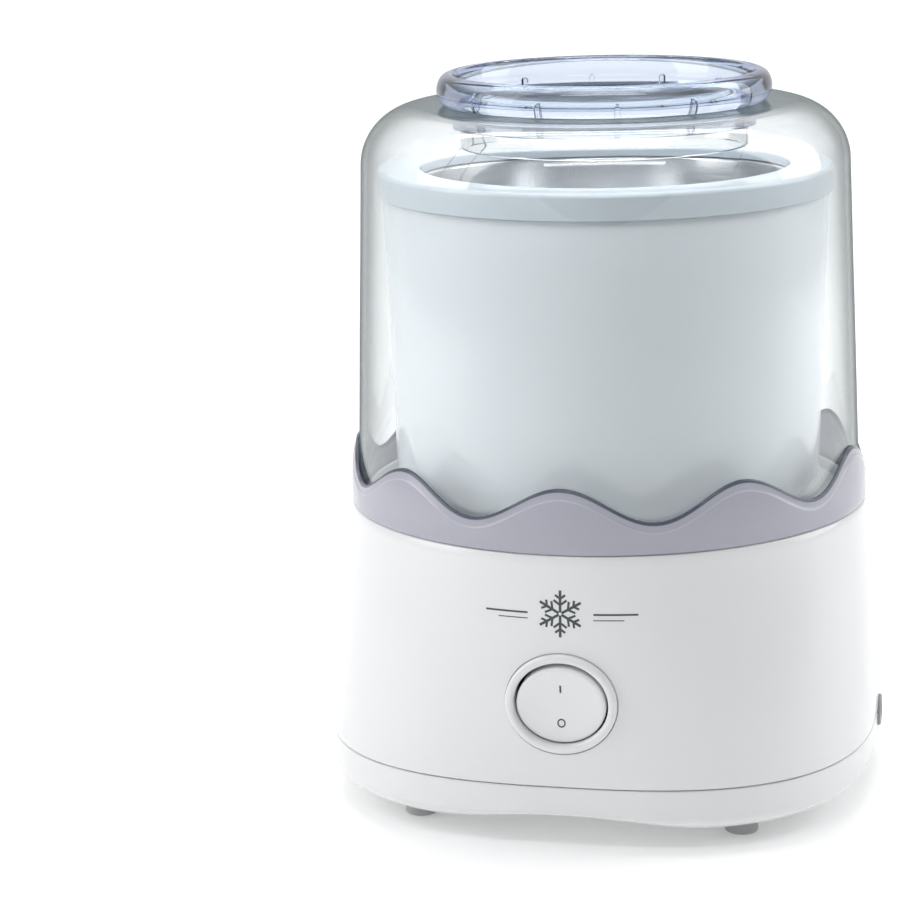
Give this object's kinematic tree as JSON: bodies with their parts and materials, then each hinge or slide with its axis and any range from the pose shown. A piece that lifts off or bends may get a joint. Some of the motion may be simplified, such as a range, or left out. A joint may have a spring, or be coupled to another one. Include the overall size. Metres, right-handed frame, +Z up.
{
  "type": "ice cream maker",
  "caption": "Countertop frozen-bowl ice cream maker with a clear lid, a turning freezer bowl, a fixed mixing arm and a rocker switch on a geared motor base.",
  "frame": {"origin": "centre of the footprint, on the surface the four feet rest on", "axes": "+Z up, -Y towards the front with the switch, +X towards the side the mains cord enters"},
  "size_m": [0.2199, 0.2149, 0.2862],
  "materials": {
    "base_housing": "smooth gloss white",
    "bottom_cover": "smooth gloss white",
    "foot_front_left": "soft dark grey",
    "foot_front_right": "soft dark grey",
    "foot_rear_left": "soft dark grey",
    "foot_rear_right": "soft dark grey",
    "cover_screw_1": "zinc plated",
    "cover_screw_2": "zinc plated",
    "cover_screw_3": "zinc plated",
    "cover_screw_4": "zinc plated",
    "collar_ring": "translucent blue grey",
    "switch_bezel": "gloss white",
    "switch_body": "black moulding",
    "rocker_pin": "ground steel",
    "switch_terminal_1": "plain brass or sintered bronze",
    "switch_terminal_2": "plain brass or sintered bronze",
    "cord_inlet_bushing": "grey moulding",
    "cord_inlet_nut": "grey moulding",
    "gear_case": "dark grey glass-filled moulding",
    "gear_case_plate": "dark grey glass-filled moulding",
    "gear_case_screw_1": "zinc plated",
    "gear_case_screw_2": "zinc plated",
    "gear_case_screw_3": "zinc plated",
    "gear_case_screw_4": "zinc plated",
    "first_axle": "ground steel",
    "second_axle": "ground steel",
    "upper_shaft_bush": "plain brass or sintered bronze",
    "lower_shaft_bush": "plain brass or sintered bronze",
    "motor_stator": "stacked laminations",
    "motor_coil": "taped copper winding",
    "motor_lower_bracket": "zinc plated pressing",
    "motor_upper_bracket": "zinc plated pressing",
    "motor_lower_bearing": "plain brass or sintered bronze",
    "motor_upper_bearing": "plain brass or sintered bronze",
    "motor_screw_1": "zinc plated",
    "motor_screw_2": "zinc plated",
    "motor_spacer_1": "plain brass or sintered bronze",
    "motor_spacer_2": "plain brass or sintered bronze",
    "output_gear": "natural acetal",
    "output_shaft": "ground steel",
    "drive_hub": "light grey acetal",
    "bowl_shell": "polished sheet",
    "bowl_liner": "polished sheet",
    "bowl_seal": "soft black",
    "bowl_rim": "gloss white",
    "coolant_charge": "frozen gel",
    "bowl_fill_plug": "soft black",
    "second_gear": "natural acetal",
    "first_gear": "natural acetal",
    "rotor_shaft": "ground steel",
    "rotor_core": "stacked laminations",
    "motor_pinion": "plain brass or sintered bronze",
    "cooling_fan": "natural moulding",
    "switch_rocker": "gloss white",
    "mixing_arm": "clear moulding",
    "lid": "clear moulding",
    "lid_pouring_ring": "clear moulding"
  },
  "bodies": {
    "base": {"base_housing": "base_housing", "bottom_cover": "bottom_cover", "foot_front_left": "foot_front_left", "foot_front_right": "foot_front_right", "foot_rear_left": "foot_rear_left", "foot_rear_right": "foot_rear_right", "cover_screw_1": "cover_screw_1", "cover_screw_2": "cover_screw_2", "cover_screw_3": "cover_screw_3", "cover_screw_4": "cover_screw_4", "collar_ring": "collar_ring", "switch_bezel": "switch_bezel", "switch_body": "switch_body", "rocker_pin": "rocker_pin", "switch_terminal_1": "switch_terminal_1", "switch_terminal_2": "switch_terminal_2", "cord_inlet_bushing": "cord_inlet_bushing", "cord_inlet_nut": "cord_inlet_nut", "gear_case": "gear_case", "gear_case_plate": "gear_case_plate", "gear_case_screw_1": "gear_case_screw_1", "gear_case_screw_2": "gear_case_screw_2", "gear_case_screw_3": "gear_case_screw_3", "gear_case_screw_4": "gear_case_screw_4", "first_axle": "first_axle", "second_axle": "second_axle", "upper_shaft_bush": "upper_shaft_bush", "lower_shaft_bush": "lower_shaft_bush", "motor_stator": "motor_stator", "motor_coil": "motor_coil", "motor_lower_bracket": "motor_lower_bracket", "motor_upper_bracket": "motor_upper_bracket", "motor_lower_bearing": "motor_lower_bearing", "motor_upper_bearing": "motor_upper_bearing", "motor_screw_1": "motor_screw_1", "motor_screw_2": "motor_screw_2", "motor_spacer_1": "motor_spacer_1", "motor_spacer_2": "motor_spacer_2"},
    "turntable": {"output_gear": "output_gear", "output_shaft": "output_shaft", "drive_hub": "drive_hub"},
    "bowl": {"bowl_shell": "bowl_shell", "bowl_liner": "bowl_liner", "bowl_seal": "bowl_seal", "bowl_rim": "bowl_rim", "coolant_charge": "coolant_charge", "bowl_fill_plug": "bowl_fill_plug"},
    "second_gear": {"second_gear": "second_gear"},
    "first_gear": {"first_gear": "first_gear"},
    "rotor": {"rotor_shaft": "rotor_shaft", "rotor_core": "rotor_core", "motor_pinion": "motor_pinion", "cooling_fan": "cooling_fan"},
    "rocker": {"switch_rocker": "switch_rocker"},
    "mixing_arm": {"mixing_arm": "mixing_arm"},
    "lid": {"lid": "lid", "lid_pouring_ring": "lid_pouring_ring"}
  },
  "joints": [
    {"name": "bowl_spin", "type": "hinge", "parent": "base", "child": "turntable", "pos_m": [0, 0, 0.1], "axis": [0, 0, 1], "continuous": true},
    {"name": "bowl_lift", "type": "slide", "parent": "turntable", "child": "bowl", "axis": [0, 0, 1], "range_m": [0, 0.05]},
    {"name": "second_gear_spin", "type": "hinge", "parent": "base", "child": "second_gear", "pos_m": [0.02333, 0.02333, 0.09], "axis": [0, 0, 1], "continuous": true},
    {"name": "first_gear_spin", "type": "hinge", "parent": "base", "child": "first_gear", "pos_m": [0.00552, 0.04115, 0.085], "axis": [0, 0, 1], "continuous": true},
    {"name": "rotor_spin", "type": "hinge", "parent": "base", "child": "rotor", "pos_m": [-0.01007, 0.05015, 0.06], "axis": [0, 0, 1], "continuous": true},
    {"name": "switch_tilt", "type": "hinge", "parent": "base", "child": "rocker", "pos_m": [0, -0.10063, 0.059], "axis": [-1, 0, 0], "range_deg": [0, 12]},
    {"name": "lid_lift", "type": "slide", "parent": "base", "child": "lid", "axis": [0, 0, 1], "range_m": [0, 0.345]},
    {"name": "arm_lift", "type": "slide", "parent": "base", "child": "mixing_arm", "axis": [0, 0, 1], "range_m": [0, 0.18]}
  ],
  "couplings": [
    {"joint": "second_gear_spin", "follows": "bowl_spin", "ratio": -5},
    {"joint": "first_gear_spin", "follows": "bowl_spin", "ratio": 23},
    {"joint": "rotor_spin", "follows": "bowl_spin", "ratio": -115},
    {"joint": "arm_lift", "follows": "lid_lift", "ratio": 0.5217},
    {"joint": "bowl_lift", "follows": "lid_lift", "ratio": 0.1449}
  ]
}
